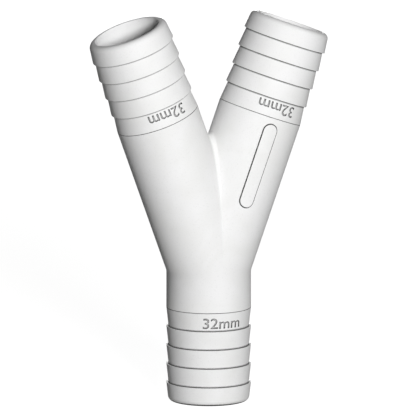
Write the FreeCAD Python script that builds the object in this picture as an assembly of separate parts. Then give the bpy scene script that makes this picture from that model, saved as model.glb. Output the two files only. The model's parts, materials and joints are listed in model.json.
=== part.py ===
"""Barbed Y connector for soft hose, moulded in one piece.

Millimetres, +Z up. The origin is the centre of the stem's end face, the stem rises along +Z,
and the two arms lean out from it to -X and +X. The side that carries the pad faces -Y.
"""

import FreeCAD, Part
import math
import os

# The tube that all three legs are made of
TUBE_DIAMETER = 33.4
BORE_DIAMETER = 26.5
ARM_ANGLE = 20.0
STEM_LENGTH = 17.5
ARM_LENGTH = 63.0

# The hose tail at the end of each leg: a neck, then a row of barbs
NECK_LENGTH = 7.5
BARB_LENGTH = 7.5
BARB_COUNT = 4
LIP_DIAMETER = 33.4
ROOT_DIAMETER = 31.7
MOUTH_ROUND = 2.2

# The rounding in the valley between the two arms
CROTCH_RADIUS = 1.5

# The raised blank pad along the front of the right arm
PAD_LENGTH = 34.2
PAD_WIDTH = 5.4
PAD_HEIGHT = 0.5
PAD_FROM_JUNCTION = 43.2

UP = FreeCAD.Vector(0, 0, 1)
ACROSS = FreeCAD.Vector(0, 1, 0)
CENTRE = FreeCAD.Vector(0, 0, 0)

tube_radius = TUBE_DIAMETER / 2
bore_radius = BORE_DIAMETER / 2
lip_radius = LIP_DIAMETER / 2
root_radius = ROOT_DIAMETER / 2
tail_length = NECK_LENGTH + BARB_COUNT * BARB_LENGTH
stem_reach = STEM_LENGTH + tail_length
arm_reach = ARM_LENGTH + tail_length


def leg(plain_length):
    """A solid leg that rises from the junction: plain tube, neck, barbs and rounded mouth."""
    outline = [(0, 0), (tube_radius, 0), (tube_radius, plain_length)]
    height = plain_length + NECK_LENGTH
    outline.append((root_radius, height))
    for _ in range(BARB_COUNT):
        outline.append((lip_radius, height))
        height += BARB_LENGTH
        outline.append((root_radius, height))
    outline.append((0, height))
    outline.append(outline[0])
    section = Part.Face(Part.makePolygon([FreeCAD.Vector(x, 0, z) for x, z in outline]))
    return rounded_mouth(section.revolve(CENTRE, UP, 360), height)


def rounded_mouth(solid, height):
    """The leg with the outer edge of its end face rounded, as far as the wall allows."""
    rim = [
        edge
        for edge in solid.Edges
        if edge.BoundBox.ZMin > height - 0.01 and abs(edge.BoundBox.XMax - root_radius) < 0.01
    ]
    return solid.makeFillet(min(MOUTH_ROUND, 0.9 * (root_radius - bore_radius)), rim)


def turned(solid, angle):
    """The solid leaned about the junction towards +X by an angle in degrees."""
    moved = solid.copy()
    moved.rotate(CENTRE, ACROSS, angle)
    return moved


def y_shape(stem, arm):
    """A stem and two arms joined at the junction."""
    return turned(stem, 180).fuse([turned(arm, -ARM_ANGLE), turned(arm, ARM_ANGLE)])


def valley_edges(solid):
    """The edges in the mid plane where the two arms meet."""
    return [
        edge
        for edge in solid.Edges
        if edge.BoundBox.XMin > -0.01 and edge.BoundBox.XMax < 0.01 and edge.BoundBox.ZMax > tube_radius
    ]


def pad():
    """The raised pad, a rounded bar wrapped to the tube, as it lies on an upright leg."""
    half = PAD_LENGTH / 2 - PAD_WIDTH / 2
    width = PAD_WIDTH / 2
    low = FreeCAD.Vector(0, 0, PAD_FROM_JUNCTION - half)
    high = FreeCAD.Vector(0, 0, PAD_FROM_JUNCTION + half)
    side = FreeCAD.Vector(width, 0, 0)
    tip = FreeCAD.Vector(0, 0, width)
    outline = Part.Wire(
        [
            Part.makeLine(low + side, high + side),
            Part.Arc(high + side, high + tip, high - side).toShape(),
            Part.makeLine(high - side, low - side),
            Part.Arc(low - side, low - tip, low + side).toShape(),
        ]
    )
    bar = Part.Face(outline).extrude(FreeCAD.Vector(0, -TUBE_DIAMETER, 0))
    return bar.common(Part.makeCylinder(tube_radius + PAD_HEIGHT, arm_reach))


def connector():
    """The whole moulding, with its bores open and the stem's end at the origin."""
    outer = y_shape(leg(STEM_LENGTH), leg(ARM_LENGTH)).removeSplitter()
    outer = outer.makeFillet(CROTCH_RADIUS, valley_edges(outer))
    outer = outer.fuse(turned(pad(), ARM_ANGLE))
    bores = y_shape(
        Part.makeCylinder(bore_radius, stem_reach),
        Part.makeCylinder(bore_radius, arm_reach),
    )
    body = outer.cut(bores)
    body.translate(UP * stem_reach)
    return body


os.makedirs("parts", exist_ok=True)
body = connector()
body.exportStep("parts/connector_body.step")
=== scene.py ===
"""A barbed Y hose connector in white moulded nylon, on a plain studio floor.

Metres, +Z up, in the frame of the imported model: the stem stands on its end at the origin, the
two arms lean to -X and +X, and the marked side faces -Y.
"""

import json
import math

import bmesh
import bpy
from bpy.props import FloatProperty, FloatVectorProperty, IntProperty, StringProperty
from mathutils import Matrix, Vector


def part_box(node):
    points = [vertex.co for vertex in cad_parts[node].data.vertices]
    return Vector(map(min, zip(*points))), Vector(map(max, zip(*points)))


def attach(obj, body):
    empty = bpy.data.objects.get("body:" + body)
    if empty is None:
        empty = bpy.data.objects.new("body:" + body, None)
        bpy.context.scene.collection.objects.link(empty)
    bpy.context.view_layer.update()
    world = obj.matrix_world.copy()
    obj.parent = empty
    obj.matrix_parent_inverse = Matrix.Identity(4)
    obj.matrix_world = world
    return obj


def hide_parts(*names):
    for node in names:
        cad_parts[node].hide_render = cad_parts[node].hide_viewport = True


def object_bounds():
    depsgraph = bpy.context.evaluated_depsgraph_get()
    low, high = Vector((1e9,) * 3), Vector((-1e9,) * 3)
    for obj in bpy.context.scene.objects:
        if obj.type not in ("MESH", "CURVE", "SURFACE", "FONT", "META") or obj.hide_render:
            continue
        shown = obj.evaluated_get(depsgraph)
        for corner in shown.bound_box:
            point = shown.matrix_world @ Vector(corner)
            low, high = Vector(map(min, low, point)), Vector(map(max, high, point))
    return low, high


bl_info = {
    "name": "Barbed Y connector",
    "version": (1, 0, 0),
    "blender": (4, 5, 0),
    "location": "3D View > Sidebar > Connector",
    "description": "Models a moulded Y connector for soft hose and its studio stage",
    "category": "Object",
}

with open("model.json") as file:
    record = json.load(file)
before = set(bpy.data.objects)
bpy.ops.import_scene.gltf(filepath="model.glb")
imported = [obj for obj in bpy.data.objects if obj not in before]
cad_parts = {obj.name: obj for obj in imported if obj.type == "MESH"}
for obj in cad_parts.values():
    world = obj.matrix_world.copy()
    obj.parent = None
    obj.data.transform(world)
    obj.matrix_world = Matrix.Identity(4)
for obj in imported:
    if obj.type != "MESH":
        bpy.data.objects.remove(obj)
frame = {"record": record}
cad_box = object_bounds()

MM = 0.001
NODE = "connector_body"
BODY = "root"


def mount(name):
    """The record's mount of that name."""
    return next(row for row in frame["record"]["mounts"] if row["name"] == name)


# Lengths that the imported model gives
BORE_DIAMETER = 2 * mount("stem_bore")["dims"]["r_mm"] * MM
STEM_REACH = mount("stem_bore")["dims"]["length_mm"] * MM
ARM_ANGLE = math.asin(mount("right_bore")["axis"][0])
JUNCTION = Vector((0, 0, STEM_REACH))
STEM_LENGTH = (JUNCTION - Vector(mount("stem_tail")["pos_m"])).length
ARM_LENGTH = (JUNCTION - Vector(mount("right_tail")["pos_m"])).length
LEGS = ((0, STEM_LENGTH), (-1, ARM_LENGTH), (1, ARM_LENGTH))
TUBE_DIAMETER = 2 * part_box(NODE)[1].y

# The photograph's frame, a parallel view
PHOTO_SIDE_PX = 416
PX_PER_MM = 2.536
JUNCTION_PX = (208.67, 262.72)
CAMERA_AZIMUTH = math.radians(-20)
CAMERA_ELEVATION = math.radians(10)

# How far off the camera and the lamps stand, half the floor's side, and how bright it looks by itself
CAMERA_DISTANCE = 1.2
LAMP_DISTANCE = 1.5
FLOOR_REACH = 4.0
FLOOR_GLOW = 0.95

# How finely the round forms are divided
AROUND = 192
CROTCH_STEPS = 8
PAD_SIDES = 64
PAD_EDGE_STEPS = 4
SLICE = 0.5 * MM

# The steps of a corner's rounding, and the size from which it takes the larger number
FINE_STEPS = 3
WIDE_STEPS = 10
WIDE_ROUND = 1.0 * MM

# The angle from which an edge looks sharp
SHARP_ANGLE = math.radians(35)

# Points nearer than this are one: where walls join, on the plane of a trim, and along a cut's rim
WELD = 1e-7
HAIR = 1e-9
SPECK = 0.001 * MM

# How far a plain wall's last edge stays from a corner, so that a mark cut there leaves it even
MARGIN = 0.3 * MM

# How many times deeper than its groove the pad's block reaches into the tube
PAD_ROOTS = 1.5

# The plain lettering at size 1: the height of a digit, and the shortest side kept in an outline
DIGIT_SHARE = 0.73
LETTER_STEP = 0.02


def length(name, description, default):
    """A length property in metres."""
    return FloatProperty(
        name=name,
        description=description,
        default=default,
        min=0,
        precision=5,
        unit="LENGTH",
        subtype="DISTANCE",
    )


def angle(name, description, degrees):
    """An angle property, given in degrees."""
    return FloatProperty(
        name=name,
        description=description,
        default=math.radians(degrees),
        unit="ROTATION",
        subtype="ANGLE",
    )


def amount(name, description, default):
    """A plain number that is never below 0."""
    return FloatProperty(name=name, description=description, default=default, min=0)


def linear(code):
    """A hex sRGB colour as linear red, green and blue."""
    values = [int(code[place : place + 2], 16) / 255 for place in (1, 3, 5)]
    return [v / 12.92 if v <= 0.04045 else ((v + 0.055) / 1.055) ** 2.4 for v in values]


def colour(name, description, code):
    """A colour property whose default is a hex sRGB colour."""
    return FloatVectorProperty(
        name=name,
        description=description,
        default=linear(code),
        size=3,
        subtype="COLOR",
    )


class BodySizes(bpy.types.PropertyGroup):
    """Sizes of the moulding"""

    tube_diameter: length("Tube", "Outside of the plain tube", TUBE_DIAMETER)
    bore_diameter: length("Bore", "Straight bore of every leg", BORE_DIAMETER)
    lip_diameter: length("Lip", "Outside of a barb at its lip", 33.4 * MM)
    root_diameter: length("Root", "Outside of the tail where a barb ends", 31.7 * MM)
    neck_length: length("Neck", "Tapered band between the shoulder and the first barb", 7.5 * MM)
    barb_length: length("Barb", "Length of one barb", 7.5 * MM)
    barb_count: IntProperty(name="Barbs", description="Barbs on every tail", default=4, min=1)
    mouth_round: length("Mouth rounding", "Radius of the outer edge of the mouth", 2.2 * MM)
    crotch_radius: length("Crotch radius", "Rounding in the valley between the arms", 1.5 * MM)
    lip_round: length("Lip rounding", "How far the mould takes back a lip's sharp edge", 0.08 * MM)
    corner_round: length("Corner rounding", "How far the inner corner below a lip is filled", 0.05 * MM)
    shoulder_line: length("Shoulder line", "Depth and width of the fine line at the shoulder", 0.25 * MM)
    rim_round: length("Rim rounding", "Radius of the bore's edge at the mouth", 0.15 * MM)


class MarkSizes(bpy.types.PropertyGroup):
    """Sizes of the size marks and the pad"""

    words: StringProperty(name="Size mark", description="Hose size moulded on each neck", default="32mm")
    digit_height: length("Digit height", "Height of the mark's digits", 4.3 * MM)
    mark_width: length("Mark width", "Length of the mark round the neck", 15.9 * MM)
    mark_bold: length("Mark stroke", "How much wider than plain lettering the strokes are", 0.12 * MM)
    mark_depth: length("Mark depth", "How deep the mark is sunk into the neck", 0.35 * MM)
    mark_from_shoulder: length("Mark place", "From the shoulder to the middle of the mark", 4.15 * MM)
    pad_length: length("Pad length", "Length of the blank pad", 34.2 * MM)
    pad_width: length("Pad width", "Width of the blank pad", 5.4 * MM)
    pad_height: length("Pad height", "How far the pad stands off the tube", 0.5 * MM)
    pad_from_junction: length("Pad place", "From the junction to the middle of the pad", 43.2 * MM)
    pad_edge: length("Pad edge", "Rounding of the pad's edge", 0.2 * MM)
    pad_line: length("Pad line", "Depth and width of the fine groove round the pad", 0.4 * MM)


class Finish(bpy.types.PropertyGroup):
    """Colours of the nylon and the floor"""

    nylon: colour("Nylon", "White moulded nylon", "#EEEEEE")
    flow: colour("Flow tone", "Where the melt met or ran last", "#EAEAE9")
    fibre: colour("Fibre specks", "Glass fibres just under the skin", "#E2E2E1")
    # Painted shade: this dark colour is mixed into tight inner corners by ambient occlusion and stands in
    # for their shade
    corner: colour("Inner corners", "Darker tone of the tight inner corners", "#404040")
    floor: colour("Floor", "Pale studio floor", "#A0A0A0")


class Stage(bpy.types.PropertyGroup):
    """Lamps and the light from all round"""

    key_power: amount("Key lamp", "Power of the key lamp in watts", 22.0)
    key_size: length("Key size", "Width of the round soft box in front of the key lamp", 0.3)
    key_azimuth: angle("Key azimuth", "How far right of the marked side's front the key lamp stands", -7)
    key_height: angle("Key height", "How high the key lamp stands over the object's middle", 15)
    back_power: amount("Back lamp", "Power of the back lamp in watts", 16.0)
    back_size: length("Back size", "Width of the round soft box in front of the back lamp", 0.15)
    back_azimuth: angle("Back azimuth", "Where the back lamp stands, behind the photographed side", 160)
    back_height: angle("Back height", "How high the back lamp stands over the object's middle", 0)
    sky: amount("Sky", "Strength of the soft light from all round", 0.02)


def add_node(tree, kind, settings=None, links=None):
    """A new node of that kind, with values for its sockets or settings and links into its sockets."""
    node = tree.nodes.new(kind)
    for name, value in (settings or {}).items():
        if isinstance(name, int) or name in node.inputs:
            node.inputs[name].default_value = value
        else:
            setattr(node, name, value)
    for name, source in (links or {}).items():
        tree.links.new(source, node.inputs[name])
    return node


def empty_material(name):
    """A new material with no nodes yet, and its tree."""
    material = bpy.data.materials.new(name)
    material.use_nodes = True
    material.node_tree.nodes.clear()
    return material, material.node_tree


def moulded_nylon():
    """White glass-filled nylon, moulded in a finely eroded tool: satin and finely grained, no gloss."""
    name = "white_moulded_nylon"
    if name in bpy.data.materials:
        return bpy.data.materials[name]
    finish = bpy.context.scene.connector_finish
    material, tree = empty_material(name)
    place = add_node(tree, "ShaderNodeTexCoord").outputs["Object"]
    # The melt's flow leaves soft changes of tone about 18 mm long
    flow = add_node(
        tree,
        "ShaderNodeTexNoise",
        {"Scale": 1 / (18 * MM), "Detail": 2.0, "Roughness": 0.5, "Distortion": 0.8},
        {"Vector": place},
    )
    flow_share = add_node(
        tree, "ShaderNodeMapRange", {"From Min": 0.4, "From Max": 0.65}, {"Value": flow.outputs["Fac"]}
    )
    # Glass fibres lie about 0.3 mm long under the skin, drawn at 0.6 mm so that they show
    fibres = add_node(
        tree, "ShaderNodeTexNoise", {"Scale": 1 / (0.6 * MM), "Detail": 1.0}, {"Vector": place}
    )
    fibre_share = add_node(
        tree,
        "ShaderNodeMapRange",
        {"From Min": 0.58, "From Max": 0.75, "To Max": 0.5},
        {"Value": fibres.outputs["Fac"]},
    )
    # Painted shade: inner corners are painted darker within 1 mm, as ambient occlusion finds them, so that
    # lips and marks read as fine lines
    corners = add_node(tree, "ShaderNodeAmbientOcclusion", {"samples": 12, "Distance": 1.0 * MM})
    corner_shade_share = add_node(
        tree,
        "ShaderNodeMapRange",
        {"From Min": 0.9, "From Max": 0.6},
        {"Value": corners.outputs["AO"]},
    )
    tone = add_node(
        tree,
        "ShaderNodeMix",
        {"data_type": "RGBA", 6: (*finish.nylon, 1), 7: (*finish.flow, 1)},
        {0: flow_share.outputs["Result"]},
    )
    speckled = add_node(
        tree,
        "ShaderNodeMix",
        {"data_type": "RGBA", 7: (*finish.fibre, 1)},
        {0: fibre_share.outputs["Result"], 6: tone.outputs[2]},
    )
    # Mixes the painted corner shade into the nylon's colour
    shaded = add_node(
        tree,
        "ShaderNodeMix",
        {"data_type": "RGBA", 7: (*finish.corner, 1)},
        {0: corner_shade_share.outputs["Result"], 6: speckled.outputs[2]},
    )
    # The eroded skin's grain is 0.1 mm, drawn at 0.3 mm so that it shows
    grain = add_node(
        tree, "ShaderNodeTexNoise", {"Scale": 1 / (0.3 * MM), "Detail": 3.0}, {"Vector": place}
    )
    satin = add_node(
        tree, "ShaderNodeMapRange", {"To Min": 0.56, "To Max": 0.7}, {"Value": grain.outputs["Fac"]}
    )
    skin = add_node(
        tree, "ShaderNodeBump", {"Strength": 0.3, "Distance": 0.03 * MM}, {"Height": grain.outputs["Fac"]}
    )
    shader = add_node(
        tree,
        "ShaderNodeBsdfPrincipled",
        {"IOR": 1.5, "Specular IOR Level": 0.1},
        {
            "Base Color": shaded.outputs[2],
            "Roughness": satin.outputs["Result"],
            "Normal": skin.outputs["Normal"],
        },
    )
    add_node(tree, "ShaderNodeOutputMaterial", links={"Surface": shader.outputs["BSDF"]})
    return material


def mesh_from(bm, name):
    """A mesh made from a bmesh, which is used up."""
    mesh = bpy.data.meshes.new(name)
    bm.to_mesh(mesh)
    bm.free()
    return mesh


def add_object(name, data):
    """A new object in the scene."""
    thing = bpy.data.objects.new(name, data)
    bpy.context.scene.collection.objects.link(thing)
    return thing


def verts_of(geometry):
    """The vertices in what a mesh operator gives back."""
    return [part for part in geometry if isinstance(part, bmesh.types.BMVert)]


def piece_from(bm, name):
    """A finished piece of the connector made from a bmesh, which is used up."""
    mesh = mesh_from(bm, name)
    piece = add_object(name, mesh)
    mesh.polygons.foreach_set("use_smooth", [True] * len(mesh.polygons))
    mesh.set_sharp_from_angle(angle=SHARP_ANGLE)
    mesh.materials.append(moulded_nylon())
    weighted = piece.modifiers.new("Even shading", "WEIGHTED_NORMAL")
    weighted.keep_sharp = True
    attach(piece, BODY)
    return piece


def leg_place(side):
    """Where a leg modelled upright on the junction goes: side 0 is the stem, -1 and 1 are the arms."""
    turn = side * ARM_ANGLE if side else math.pi
    return Matrix.Translation(JUNCTION) @ Matrix.Rotation(turn, 4, "Y")


def outline_wire(bm, corners):
    """A wire through corners of (radius, height, rounding), each corner rounded by that much."""
    verts = [bm.verts.new((radius, 0, height)) for radius, height, _ in corners]
    for start, end in zip(verts, verts[1:]):
        bm.edges.new((start, end))
    for rounding in sorted({corner[2] for corner in corners} - {0}):
        sharp = [vert for vert, corner in zip(verts, corners) if corner[2] == rounding]
        bmesh.ops.bevel(
            bm,
            geom=sharp,
            offset=rounding,
            offset_type="OFFSET",
            affect="VERTICES",
            segments=WIDE_STEPS if rounding > WIDE_ROUND else FINE_STEPS,
            profile=0.5,
            material=-1,
        )


def spun(corners, side):
    """A surface of revolution from an outline, placed as a leg."""
    bm = bmesh.new()
    outline_wire(bm, corners)
    bmesh.ops.spin(
        bm,
        geom=bm.verts[:] + bm.edges[:],
        cent=(0, 0, 0),
        axis=(0, 0, 1),
        angle=math.tau,
        steps=AROUND,
        use_merge=True,
    )
    bmesh.ops.transform(bm, matrix=leg_place(side), verts=bm.verts)
    return bm


def trim(bm, normal):
    """Keeps what lies on the normal's side of a plane through the junction."""
    bmesh.ops.bisect_plane(
        bm,
        geom=bm.verts[:] + bm.edges[:] + bm.faces[:],
        dist=HAIR,
        plane_co=JUNCTION,
        plane_no=normal,
        clear_inner=True,
    )


def tail_corners(sizes, plain):
    """The outside of a leg from the junction to its mouth, then a little way down its bore."""
    tube, bore = sizes.tube_diameter / 2, sizes.bore_diameter / 2
    lip, root = sizes.lip_diameter / 2, sizes.root_diameter / 2
    line, fall = sizes.shoulder_line, (tube - root) / sizes.neck_length
    height = plain + sizes.neck_length
    corners = [(tube, 0, 0), (tube, plain - line / 2, 0), (tube - line, plain, 0)]
    corners.append((tube - line / 2 * fall, plain + line / 2, 0))
    corners.append((root + MARGIN * fall, height - MARGIN, 0))
    for _ in range(sizes.barb_count):
        corners.append((root, height, sizes.corner_round))
        corners.append((lip, height, sizes.lip_round))
        height += sizes.barb_length
    taper = math.atan2(lip - root, sizes.barb_length)
    corners.append((root, height, sizes.mouth_round / math.tan((math.pi / 2 + taper) / 2)))
    corners.append((bore, height, sizes.rim_round))
    corners.append((bore, height - sizes.barb_length, 0))
    return corners


def contact_slope(sizes):
    """How far the crotch rounding's edge on an arm leans from the mid plane, for each unit of height."""
    tube, ball = sizes.tube_diameter / 2, sizes.crotch_radius
    across = ball * math.cos(ARM_ANGLE)
    height = (tube + ball) * math.cos(ARM_ANGLE) ** 2 / math.sin(ARM_ANGLE) + tube * math.sin(ARM_ANGLE)
    return across / height


def leg_walls(sizes, side, plain):
    """The outer and inner walls of a leg, trimmed where they meet the other legs."""
    corners = tail_corners(sizes, plain)
    outer = spun(corners, side)
    bore, low = corners[-1][:2]
    inner = spun([(bore, low, 0), (bore, 0, 0)], side)
    half = ARM_ANGLE / 2
    if side:
        for wall in (outer, inner):
            trim(wall, (side * math.sin(half), 0, math.cos(half)))
        trim(outer, (side, 0, -contact_slope(sizes)))
        trim(inner, (side, 0, 0))
    else:
        for wall in (outer, inner):
            trim(wall, (math.sin(half), 0, -math.cos(half)))
            trim(wall, (-math.sin(half), 0, -math.cos(half)))
    return outer, inner


def add_to(bm, other):
    """Moves the geometry of another bmesh into this one."""
    carrier = mesh_from(other, "carrier")
    bm.from_mesh(carrier)
    bpy.data.meshes.remove(carrier)


def round_crotch(bm, sizes):
    """Lays the rounding between the two arms, as a ball that rolls up their valley would leave it."""
    tube, ball, slope = sizes.tube_diameter / 2, sizes.crotch_radius, contact_slope(sizes)

    def on_edge(vert):
        rise = vert.co.z - JUNCTION.z
        return rise > -WELD and abs(vert.co.x - slope * rise) < WELD

    edges = [e for e in bm.edges if e.is_boundary and all(on_edge(v) for v in e.verts)]
    strip = set()
    for step in range(CROTCH_STEPS):
        made = bmesh.ops.extrude_edge_only(bm, edges=edges)["geom"]
        verts = verts_of(made)
        edges = [g for g in made if isinstance(g, bmesh.types.BMEdge) and all(v in verts for v in g.verts)]
        before, after = (1 - 2 * n / CROTCH_STEPS for n in (step, step + 1))
        for vert in verts:
            share = vert.co.x / before if before else slope * (vert.co.z - JUNCTION.z)
            vert.co.x = share * after
        strip.update(verts)
    reach = tube + ball
    for vert in strip:
        cosine = -vert.co.y / tube
        sine = math.sqrt(max(0.0, 1 - cosine * cosine))
        centre = JUNCTION + Vector((0, -reach * cosine, reach * sine / math.sin(ARM_ANGLE)))
        away = vert.co - centre
        if sine > math.sin(math.pi / AROUND):
            vert.co = centre + away * (ball / away.length)


def open_edges(bm):
    """Stops the script where a shell isn't closed."""
    loose = sum(1 for edge in bm.edges if not edge.is_manifold)
    if loose:
        raise RuntimeError(f"the moulding has {loose} open edges")


class CONNECTOR_OT_body(bpy.types.Operator):
    """Model the one-piece moulding: three barbed legs, their bores and the rounded crotch"""

    bl_idname = "connector.body"
    bl_label = "Moulded body"

    def execute(self, context):
        sizes = context.scene.connector_body
        bm = bmesh.new()
        for side, plain in LEGS:
            for wall in leg_walls(sizes, side, plain):
                add_to(bm, wall)
        round_crotch(bm, sizes)
        bmesh.ops.remove_doubles(bm, verts=bm.verts, dist=WELD)
        bmesh.ops.delete(bm, geom=[edge for edge in bm.edges if edge.is_wire], context="EDGES")
        bmesh.ops.recalc_face_normals(bm, faces=bm.faces)
        open_edges(bm)
        body = piece_from(bm, "moulded_body")
        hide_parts(NODE)
        return {"FINISHED"}


def wrap(bm, side, radius_at, middle):
    """Bends flat relief round a leg: its X runs round the leg, and its top points to the junction."""
    for vert in bm.verts:
        height = middle - vert.co.y
        radius = radius_at(height)
        turn = -vert.co.x / radius
        reach = radius + vert.co.z
        vert.co = Vector((reach * math.sin(turn), -reach * math.cos(turn), height))
    bmesh.ops.transform(bm, matrix=leg_place(side), verts=bm.verts)


def slice_up(bm, step, way):
    """Cuts flat relief across every step of length, so that it can bend."""
    places = [vert.co.dot(way) for vert in bm.verts]
    count = math.ceil((max(places) - min(places)) / step)
    for n in range(1, count):
        bmesh.ops.bisect_plane(
            bm,
            geom=bm.verts[:] + bm.edges[:] + bm.faces[:],
            plane_co=way * (min(places) + n * step),
            plane_no=way,
        )


def bar_block(length, width, low, high, edge=0.0):
    """A flat bar with round ends along Y, from a low to a high level, its top edge rounded if asked."""
    bm = bmesh.new()
    bmesh.ops.create_circle(
        bm,
        cap_ends=True,
        radius=width / 2,
        segments=PAD_SIDES,
        matrix=Matrix.Rotation(math.pi / PAD_SIDES, 4, "Z"),
    )
    for vert in bm.verts:
        vert.co.y += math.copysign((length - width) / 2, vert.co.y)
        vert.co.z = low
    lifted = verts_of(bmesh.ops.extrude_face_region(bm, geom=bm.faces[:])["geom"])
    bmesh.ops.translate(bm, vec=(0, 0, high - low), verts=lifted)
    if edge:
        rim = [e for e in bm.edges if all(v in lifted for v in e.verts)]
        bmesh.ops.bevel(
            bm,
            geom=rim,
            offset=edge,
            offset_type="OFFSET",
            affect="EDGES",
            segments=PAD_EDGE_STEPS,
            profile=0.5,
            material=-1,
        )
    slice_up(bm, SLICE, Vector((1, 0, 0)))
    bmesh.ops.recalc_face_normals(bm, faces=bm.faces)
    return bm


def moulded_body():
    """The body that reliefs are cut into."""
    body = bpy.data.objects.get("moulded_body")
    if body is None:
        raise RuntimeError("the moulded body comes first")
    return body


class CONNECTOR_OT_pad(bpy.types.Operator):
    """Model the blank raised pad along the front of the right arm, in a fine groove of its own"""

    bl_idname = "connector.pad"
    bl_label = "Blank pad"

    def execute(self, context):
        sizes, marks = context.scene.connector_body, context.scene.connector_marks
        tube, line = sizes.tube_diameter / 2, marks.pad_line
        groove = bar_block(marks.pad_length + 2 * line, marks.pad_width + 2 * line, -line, line)
        wrap(groove, 1, lambda height: tube, marks.pad_from_junction)
        sink(moulded_body(), groove)
        foot = -PAD_ROOTS * line
        pad = bar_block(marks.pad_length, marks.pad_width, foot, marks.pad_height, marks.pad_edge)
        wrap(pad, 1, lambda height: tube, marks.pad_from_junction)
        piece_from(pad, "blank_pad")
        return {"FINISHED"}


def flat_words(words, width, height, bold):
    """Plain lettering as a flat, centred mesh, scaled to a width and a digit height."""
    curve = bpy.data.curves.new("lettering", "FONT")
    curve.body = words
    curve.align_x = "CENTER"
    curve.offset = bold / 2 / height * DIGIT_SHARE
    carrier = add_object("lettering", curve)
    mesh = bpy.data.meshes.new_from_object(carrier)
    bpy.data.objects.remove(carrier)
    bpy.data.curves.remove(curve)
    bm = bmesh.new()
    bm.from_mesh(mesh)
    bpy.data.meshes.remove(mesh)
    bmesh.ops.remove_doubles(bm, verts=bm.verts, dist=LETTER_STEP)
    low = Vector(map(min, zip(*(v.co for v in bm.verts))))
    high = Vector(map(max, zip(*(v.co for v in bm.verts))))
    size = high - low
    bmesh.ops.translate(bm, vec=-(low + high) / 2, verts=bm.verts)
    bmesh.ops.scale(bm, vec=(width / size.x, height / size.y, 1), verts=bm.verts)
    return bm


def word_block(words, width, height, bold, depth):
    """Plain lettering as closed blocks, from a depth below the flat plane to as much above it."""
    bm = flat_words(words, width, height, bold)
    bmesh.ops.translate(bm, vec=(0, 0, -depth), verts=bm.verts)
    slice_up(bm, SLICE, Vector((1, 0, 0)))
    lid = bmesh.ops.extrude_face_region(bm, geom=bm.faces[:], use_keep_orig=True)["geom"]
    lifted = verts_of(lid)
    bmesh.ops.translate(bm, vec=(0, 0, 2 * depth), verts=lifted)
    bmesh.ops.recalc_face_normals(bm, faces=bm.faces)
    return bm


def sink(piece, bm):
    """Cuts closed blocks, made as a bmesh, out of a piece's mesh."""
    blank = add_object("blank", piece.data)
    punch = add_object("punch", mesh_from(bm, "punch"))
    cut = blank.modifiers.new("Sunk", "BOOLEAN")
    cut.operation = "DIFFERENCE"
    cut.solver = "EXACT"
    cut.object = punch
    mesh = bpy.data.meshes.new_from_object(blank.evaluated_get(bpy.context.evaluated_depsgraph_get()))
    result = bmesh.new()
    result.from_mesh(mesh)
    if len(result.faces) <= len(piece.data.polygons):
        raise RuntimeError("the cut into the moulding failed")
    bmesh.ops.dissolve_degenerate(result, dist=SPECK, edges=result.edges)
    bmesh.ops.triangulate(result, faces=[face for face in result.faces if len(face.verts) > 4])
    open_edges(result)
    for face in result.faces:
        face.material_index = 0
    result.to_mesh(piece.data)
    result.free()
    piece.data.set_sharp_from_angle(angle=SHARP_ANGLE)
    bpy.data.objects.remove(blank)
    bpy.data.meshes.remove(punch.data)
    bpy.data.meshes.remove(mesh)


class CONNECTOR_OT_size_marks(bpy.types.Operator):
    """Sink the hose size into the neck of each leg"""

    bl_idname = "connector.size_marks"
    bl_label = "Size marks"

    def execute(self, context):
        sizes, marks = context.scene.connector_body, context.scene.connector_marks
        body = moulded_body()
        tube, root = sizes.tube_diameter / 2, sizes.root_diameter / 2
        blocks = bmesh.new()
        for side, plain in LEGS:
            bm = word_block(
                marks.words, marks.mark_width, marks.digit_height, marks.mark_bold, marks.mark_depth
            )
            wrap(
                bm,
                side,
                lambda height, plain=plain: tube + (root - tube) * (height - plain) / sizes.neck_length,
                plain + marks.mark_from_shoulder,
            )
            add_to(blocks, bm)
        sink(body, blocks)
        return {"FINISHED"}


def seen_plainly(tree):
    """1 where the camera, a reflection or clear matter sees the surroundings, and 0 where they light."""
    path = add_node(tree, "ShaderNodeLightPath")
    mirror = add_node(
        tree,
        "ShaderNodeMath",
        {"operation": "MAXIMUM"},
        {0: path.outputs["Is Glossy Ray"], 1: path.outputs["Is Transmission Ray"]},
    )
    plain = add_node(
        tree,
        "ShaderNodeMath",
        {"operation": "MAXIMUM"},
        {0: path.outputs["Is Camera Ray"], 1: mirror.outputs["Value"]},
    )
    return plain.outputs["Value"]


def studio_floor():
    """Matt pale paper: it looks white, with the object's shadow left on it."""
    finish = bpy.context.scene.connector_finish
    material, tree = empty_material("pale_paper_floor")
    paper = add_node(tree, "ShaderNodeBsdfDiffuse", {"Color": (*finish.floor, 1)})
    glow = add_node(tree, "ShaderNodeEmission", {"Color": (1, 1, 1, 1), "Strength": FLOOR_GLOW})
    lit = add_node(
        tree, "ShaderNodeAddShader", links={0: paper.outputs["BSDF"], 1: glow.outputs["Emission"]}
    )
    pick = add_node(
        tree,
        "ShaderNodeMixShader",
        links={"Fac": seen_plainly(tree), 1: paper.outputs["BSDF"], 2: lit.outputs["Shader"]},
    )
    add_node(tree, "ShaderNodeOutputMaterial", links={"Surface": pick.outputs["Shader"]})
    return material


def studio_world(strength):
    """A weak even light from all round, which looks white itself."""
    world = bpy.data.worlds.new("studio")
    bpy.context.scene.world = world
    world.use_nodes = True
    tree = world.node_tree
    tree.nodes.clear()
    soft = add_node(tree, "ShaderNodeBackground", {"Color": (1, 1, 1, 1), "Strength": strength})
    white = add_node(tree, "ShaderNodeBackground", {"Color": (1, 1, 1, 1), "Strength": 1.0})
    pick = add_node(
        tree,
        "ShaderNodeMixShader",
        links={"Fac": seen_plainly(tree), 1: soft.outputs["Background"], 2: white.outputs["Background"]},
    )
    add_node(tree, "ShaderNodeOutputWorld", links={"Surface": pick.outputs["Shader"]})


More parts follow.
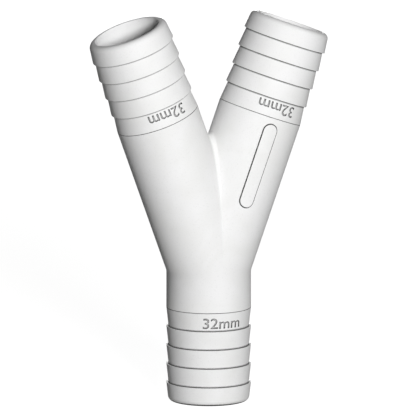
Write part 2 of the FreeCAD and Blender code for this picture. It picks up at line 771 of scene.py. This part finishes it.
def direction(azimuth, elevation):
    """The unit vector from the object towards something seen at that azimuth and elevation."""
    return Vector(
        (
            math.sin(azimuth) * math.cos(elevation),
            -math.cos(azimuth) * math.cos(elevation),
            math.sin(elevation),
        )
    )


def aim(thing, place, target):
    """Puts a lamp or camera at a place, looking at a target."""
    thing.location = place
    thing.rotation_mode = "QUATERNION"
    thing.rotation_quaternion = (target - place).to_track_quat("-Z", "Y")


def soft_lamp(name, power, size, azimuth, height):
    """A round soft box that looks at the object's middle."""
    lamp = bpy.data.lights.new(name, "AREA")
    lamp.shape = "DISK"
    lamp.size = size
    lamp.energy = power
    box = add_object(name, lamp)
    middle = (cad_box[0] + cad_box[1]) / 2
    aim(box, middle + direction(azimuth, height) * LAMP_DISTANCE, middle)


def photo_target():
    """The point that the middle of the photograph looks at."""
    back = direction(CAMERA_AZIMUTH, CAMERA_ELEVATION)
    right = Vector((math.cos(CAMERA_AZIMUTH), math.sin(CAMERA_AZIMUTH), 0))
    up = back.cross(right)
    middle = PHOTO_SIDE_PX / 2
    aside = (middle - JUNCTION_PX[0]) / PX_PER_MM * MM
    above = (JUNCTION_PX[1] - middle) / PX_PER_MM * MM
    return JUNCTION + right * aside + up * above


class CONNECTOR_OT_stage(bpy.types.Operator):
    """Set the floor, the soft lamps and the camera"""

    bl_idname = "connector.stage"
    bl_label = "Studio stage"

    def execute(self, context):
        scene = context.scene
        lamps = scene.connector_stage
        bm = bmesh.new()
        bmesh.ops.create_grid(bm, x_segments=1, y_segments=1, size=FLOOR_REACH)
        floor = add_object("studio_floor", mesh_from(bm, "studio_floor"))
        floor.data.materials.append(studio_floor())

        soft_lamp("key_lamp", lamps.key_power, lamps.key_size, lamps.key_azimuth, lamps.key_height)
        soft_lamp("back_lamp", lamps.back_power, lamps.back_size, lamps.back_azimuth, lamps.back_height)
        studio_world(lamps.sky)

        camera = add_object("camera", bpy.data.cameras.new("camera"))
        camera.data.type = "ORTHO"
        camera.data.ortho_scale = PHOTO_SIDE_PX / PX_PER_MM * MM
        target = photo_target()
        aim(camera, target + direction(CAMERA_AZIMUTH, CAMERA_ELEVATION) * CAMERA_DISTANCE, target)
        scene.camera = camera
        scene.view_settings.view_transform = "Standard"
        return {"FINISHED"}


class CONNECTOR_PT_panel(bpy.types.Panel):
    """A button for each step, in the 3D view's sidebar"""

    bl_label = "Barbed Y connector"
    bl_idname = "CONNECTOR_PT_panel"
    bl_space_type = "VIEW_3D"
    bl_region_type = "UI"
    bl_category = "Connector"

    def draw(self, context):
        for operator in OPERATORS:
            self.layout.operator(operator.bl_idname)


GROUPS = {
    "connector_body": BodySizes,
    "connector_marks": MarkSizes,
    "connector_finish": Finish,
    "connector_stage": Stage,
}
OPERATORS = (CONNECTOR_OT_stage, CONNECTOR_OT_body, CONNECTOR_OT_pad, CONNECTOR_OT_size_marks)


def register():
    """Makes the settings, the operators and the panel known."""
    for group in GROUPS.values():
        bpy.utils.register_class(group)
    for name, group in GROUPS.items():
        setattr(bpy.types.Scene, name, bpy.props.PointerProperty(type=group))
    for operator in OPERATORS:
        bpy.utils.register_class(operator)
    bpy.utils.register_class(CONNECTOR_PT_panel)


def unregister():
    """Takes them all away again, last first."""
    bpy.utils.unregister_class(CONNECTOR_PT_panel)
    for operator in reversed(OPERATORS):
        bpy.utils.unregister_class(operator)
    for name, group in reversed(GROUPS.items()):
        delattr(bpy.types.Scene, name)
        bpy.utils.unregister_class(group)


def main():
    """Models the connector on its stage."""
    register()
    bpy.ops.connector.stage()
    bpy.ops.connector.body()
    bpy.ops.connector.pad()
    bpy.ops.connector.size_marks()


if __name__ == "__main__":
    main()
